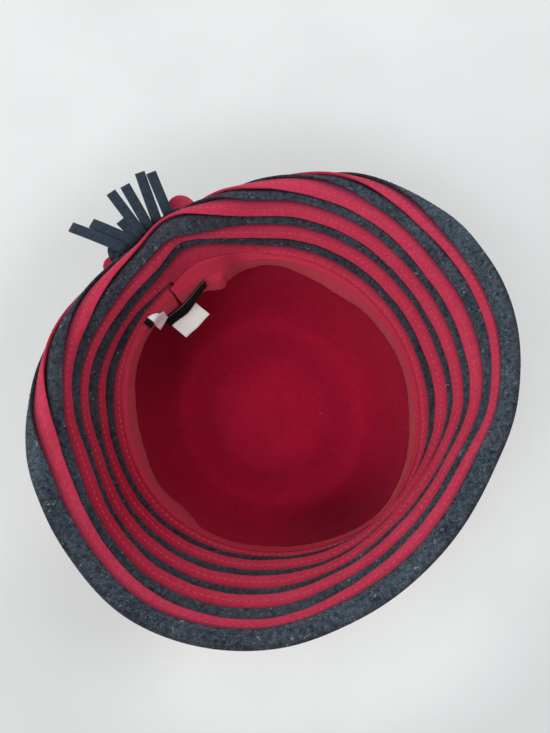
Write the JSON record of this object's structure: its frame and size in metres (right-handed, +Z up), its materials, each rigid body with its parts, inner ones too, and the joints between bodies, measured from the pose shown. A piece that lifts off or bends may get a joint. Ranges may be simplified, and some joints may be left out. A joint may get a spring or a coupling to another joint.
{
  "type": "cloche hat",
  "caption": "Felt cloche hat lying upside down on its flattened crown tip, with a flared brim of wound red and charcoal strips, a turned-up back and a fringe ornament.",
  "frame": {"origin": "middle of the flattened crown tip, on its outer face, where the upside-down hat rests", "axes": "+Z up into the open hat, -Y to the front of the hat, +Y to the back with the turned-up brim and the fringe"},
  "size_m": [0.252, 0.2586, 0.1698],
  "materials": {
    "crown_felt": "brushed wool felt, dark red",
    "red_felt": "brushed wool felt, red",
    "charcoal_felt": "heathered wool felt, charcoal with light fibres",
    "sweatband_cloth": "matte cotton cloth, pinkish red",
    "label_ribbon": "black woven ribbon, bare",
    "tag_cloth": "white satin tape, bare"
  },
  "bodies": {
    "root": {"crown": "crown_felt", "red_strip": "red_felt", "charcoal_strip": "charcoal_felt", "sweatband": "sweatband_cloth", "label": "label_ribbon", "label_end": "label_ribbon", "care_tag": "tag_cloth", "care_fold": "tag_cloth", "fringe": "charcoal_felt", "red_petal": "red_felt", "charcoal_petal": "charcoal_felt", "red_petal_left": "red_felt"}
  },
  "joints": []
}
